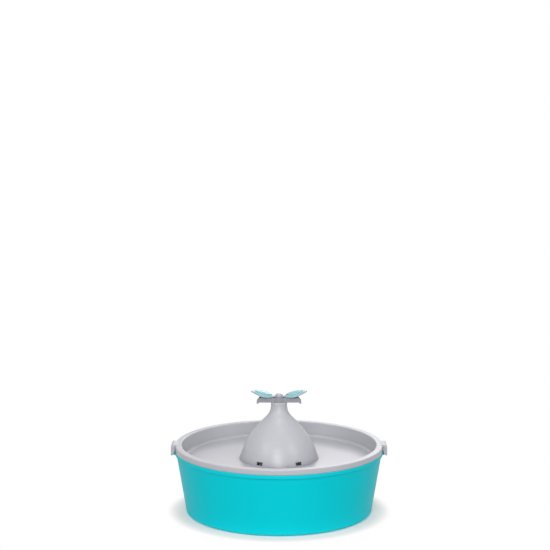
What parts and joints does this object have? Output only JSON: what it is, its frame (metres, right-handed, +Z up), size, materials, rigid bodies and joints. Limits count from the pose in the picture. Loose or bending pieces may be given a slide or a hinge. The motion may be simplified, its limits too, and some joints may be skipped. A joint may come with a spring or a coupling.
{
  "type": "pet water fountain",
  "caption": "Round pet water fountain: open tapered bowl, domed drinking dish with a flower spout, and a foam-wrapped pump under a lift-out filter stack.",
  "frame": {"origin": "centre of the bowl on the surface that its foot pads stand on", "axes": "+Z up, +X to the viewer's right along the side hooks, -Y towards the viewer"},
  "size_m": [0.2366, 0.2715, 0.1349],
  "materials": {
    "bowl_plastic": "satin moulded polypropylene, teal",
    "dish_plastic": "satin moulded plastic, cool grey",
    "white_plastic": "smooth white moulded plastic",
    "wing_plastic": "pale teal inlay, smooth",
    "cyan_plastic": "bright cyan moulded plastic",
    "pump_plastic": "dark grey ribbed plastic",
    "black_plastic": "black moulded plastic",
    "screen_plastic": "grey moulded mesh",
    "cord_sheath": "dark grey soft vinyl sheath",
    "pad_rubber": "soft dark rubber",
    "black_rubber": "black rubber",
    "white_rubber": "white soft rubber",
    "seal_rubber": "translucent grey silicone",
    "foam": "white open-cell foam",
    "carbon": "black carbon granules",
    "ceramic": "polished white ceramic",
    "core_steel": "laminated steel",
    "copper": "enamelled copper wire",
    "resin": "cast potting resin",
    "magnet": "dark ferrite"
  },
  "bodies": {
    "bowl": {"bowl": "bowl_plastic", "foot_pads": "pad_rubber", "cord_grommet": "white_rubber", "cord_lead": "cord_sheath", "cord_coil": "cord_sheath", "cord_tail": "cord_sheath", "coil_tie": "black_plastic", "dc_connector": "black_plastic"},
    "pump": {"pump_case": "pump_plastic", "intake_cover": "cyan_plastic", "chamber_plate": "pump_plastic", "rear_cap": "pump_plastic", "suction_feet": "black_rubber", "pump_shaft": "ceramic", "shaft_bushes": "black_rubber", "stator_core": "core_steel", "stator_coil": "copper", "potting": "resin", "strain_relief": "black_rubber"},
    "impeller": {"rotor_magnet": "magnet", "impeller": "white_plastic"},
    "foam": {"foam_filter": "foam"},
    "cup": {"filter_cup": "white_plastic", "nozzle_seal": "seal_rubber"},
    "cartridge": {"cartridge_shell": "white_plastic", "carbon_media": "carbon", "top_screen": "screen_plastic", "bottom_screen": "screen_plastic"},
    "housing": {"filter_housing": "white_plastic", "collar_seal": "seal_rubber"},
    "dish": {"dish": "dish_plastic"},
    "topper": {"topper_stem": "dish_plastic", "left_wing": "wing_plastic", "right_wing": "wing_plastic", "topper_cap": "dish_plastic"}
  },
  "joints": [
    {"name": "pump_lift", "type": "slide", "parent": "bowl", "child": "pump", "axis": [0, 0, 1], "range_m": [0, 0.1145]},
    {"name": "impeller_spin", "type": "hinge", "parent": "pump", "child": "impeller", "pos_m": [0, 0, 0.02], "axis": [1, 0, 0], "continuous": true},
    {"name": "foam_lift", "type": "slide", "parent": "pump", "child": "foam", "axis": [0, 0, 1], "range_m": [0, 0.055]},
    {"name": "cup_lift", "type": "slide", "parent": "foam", "child": "cup", "axis": [0, 0, 1], "range_m": [0, 0.0213]},
    {"name": "cartridge_lift", "type": "slide", "parent": "cup", "child": "cartridge", "axis": [0, 0, 1], "range_m": [0, 0.0375]},
    {"name": "housing_lift", "type": "slide", "parent": "cartridge", "child": "housing", "axis": [0, 0, 1], "range_m": [0, 0.0503]},
    {"name": "dish_lift", "type": "slide", "parent": "housing", "child": "dish", "axis": [0, 0, 1], "range_m": [0, 0.0704]},
    {"name": "topper_lift", "type": "slide", "parent": "dish", "child": "topper", "axis": [0, 0, 1], "range_m": [0, 0.0562]}
  ]
}
